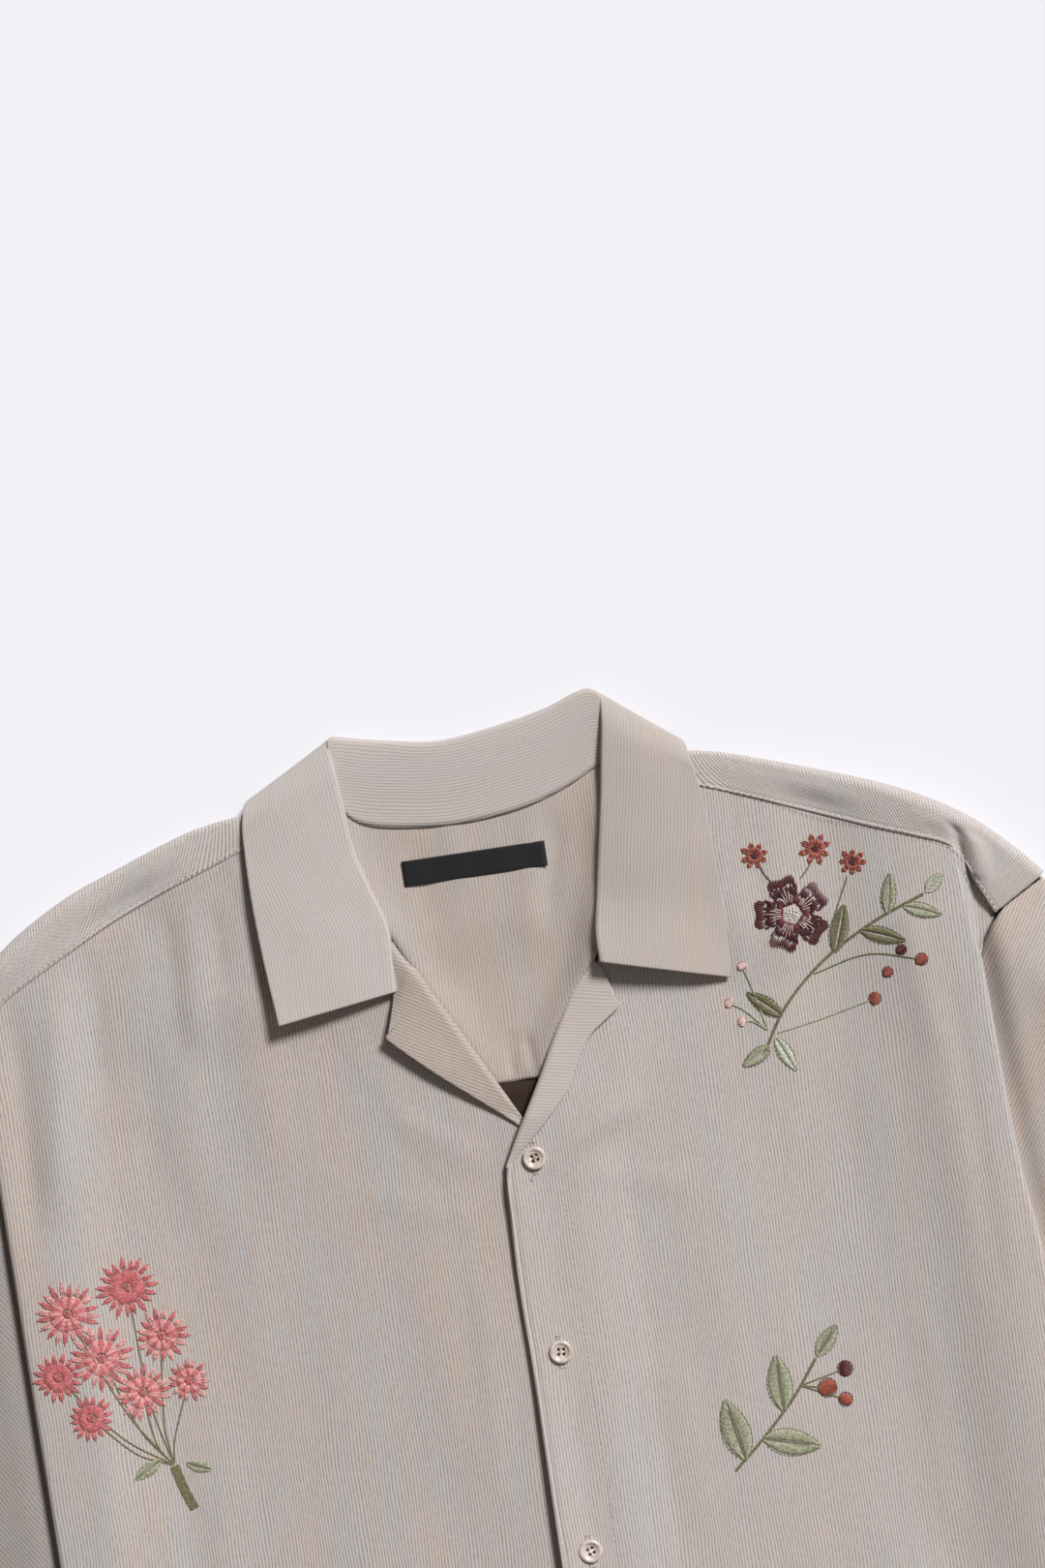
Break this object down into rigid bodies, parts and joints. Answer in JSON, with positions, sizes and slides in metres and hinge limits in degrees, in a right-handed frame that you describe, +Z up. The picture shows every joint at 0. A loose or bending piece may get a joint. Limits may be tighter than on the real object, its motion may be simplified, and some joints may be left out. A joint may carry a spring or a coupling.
{
  "type": "camp-collar shirt",
  "caption": "Long-sleeved button-front shirt with an open camp collar and yoke, laid flat on its back with both sleeves out to the sides.",
  "frame": {"origin": "middle of the bounding box on the surface that the shirt lies on", "axes": "+X along the sleeves' reach towards the wearer's left, +Y from the hem to the collar, +Z up from the surface"},
  "size_m": [1.1872, 0.7816, 0.0158],
  "materials": {
    "shirt_cloth": "ribbed beige cotton, matt",
    "collar_cloth": "ribbed beige cotton, matt",
    "label_weave": "blank black woven label",
    "button_resin": "semi-gloss beige resin"
  },
  "bodies": {
    "root": {"back": "shirt_cloth", "yoke": "shirt_cloth", "front_left": "shirt_cloth", "front_right": "shirt_cloth", "facing_left": "collar_cloth", "facing_right": "collar_cloth", "collar": "collar_cloth", "sleeve_left": "shirt_cloth", "sleeve_right": "shirt_cloth", "cuff_left": "collar_cloth", "cuff_right": "collar_cloth", "label": "label_weave", "button_1": "button_resin", "button_2": "button_resin", "button_3": "button_resin", "button_4": "button_resin", "button_5": "button_resin", "button_6": "button_resin", "cuff_button_left": "button_resin", "cuff_button_right": "button_resin"}
  },
  "joints": []
}
